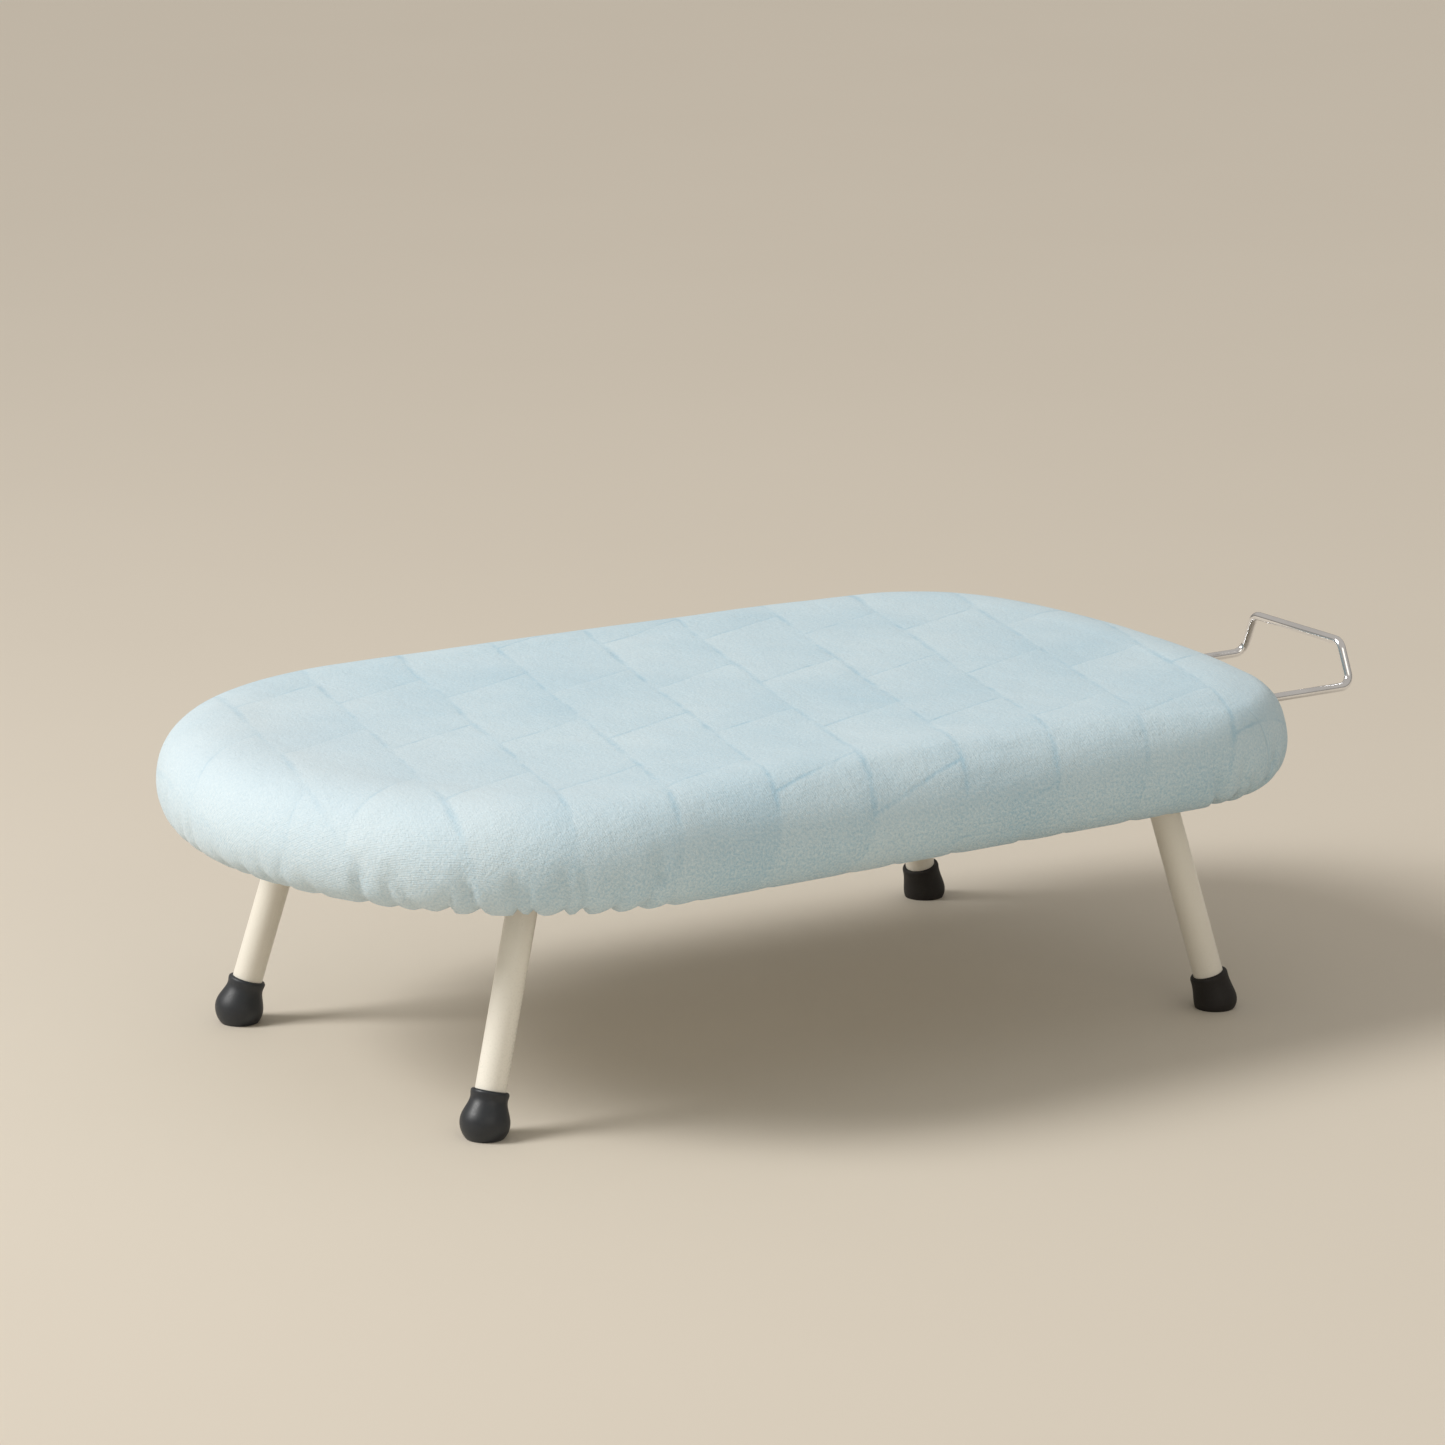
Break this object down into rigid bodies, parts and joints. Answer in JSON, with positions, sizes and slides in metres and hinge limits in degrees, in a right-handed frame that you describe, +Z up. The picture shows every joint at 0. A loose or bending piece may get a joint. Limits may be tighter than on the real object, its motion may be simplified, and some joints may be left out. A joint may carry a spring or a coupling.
{
  "type": "tabletop ironing board",
  "caption": "Low tabletop ironing board with a padded fabric cover, folding splayed tube legs with rubber feet and a wire iron rest that slides out of one end.",
  "frame": {"origin": "on the floor, under the middle of the whole footprint with the iron rest drawn out", "axes": "+X along the board to the iron rest, +Y to the back, +Z up"},
  "size_m": [0.6894, 0.3858, 0.1755],
  "materials": {
    "cover_cotton": "matte",
    "foam": "matte",
    "elastic": "matte",
    "panel_steel": "satin",
    "zinc_steel": "satin",
    "rivet_steel": "satin",
    "bush_plastic": "matte",
    "clip_plastic": "matte",
    "leg_paint": "satin",
    "bulb_rubber": "satin",
    "taper_rubber": "matte",
    "rest_chrome": "polished"
  },
  "bodies": {
    "board": {"top_panel": "panel_steel", "rim_band": "panel_steel", "foam_pad": "foam", "cover": "cover_cotton", "hem_elastic": "elastic", "rest_guide": "zinc_steel", "guide_rivets": "rivet_steel", "saddle_rivets": "rivet_steel", "stop_rivets": "rivet_steel", "clip_screws": "rivet_steel", "back_rest_bush": "bush_plastic", "front_rest_bush": "bush_plastic", "left_back_saddle": "zinc_steel", "left_front_saddle": "zinc_steel", "left_back_stop": "zinc_steel", "left_front_stop": "zinc_steel", "left_back_clip": "clip_plastic", "left_front_clip": "clip_plastic", "right_back_saddle": "zinc_steel", "right_front_saddle": "zinc_steel", "right_back_stop": "zinc_steel", "right_front_stop": "zinc_steel", "right_back_clip": "clip_plastic", "right_front_clip": "clip_plastic"},
    "left_legs": {"left_leg_frame": "leg_paint", "left_back_foot": "bulb_rubber", "left_front_foot": "bulb_rubber"},
    "right_legs": {"right_leg_frame": "leg_paint", "right_back_foot": "taper_rubber", "right_front_foot": "taper_rubber"},
    "iron_rest": {"iron_rest": "rest_chrome"}
  },
  "joints": [
    {"name": "left_leg_fold", "type": "hinge", "parent": "board", "child": "left_legs", "pos_m": [-0.21841, 0, 0.1565], "axis": [0, -1, 0], "range_deg": [0, 101.8]},
    {"name": "right_leg_fold", "type": "hinge", "parent": "board", "child": "right_legs", "pos_m": [0.14587, 0, 0.1565], "axis": [0, 1, 0], "range_deg": [0, 101]},
    {"name": "iron_rest_slide", "type": "slide", "parent": "board", "child": "iron_rest", "axis": [1, 0, 0], "range_m": [-0.078, 0]}
  ]
}
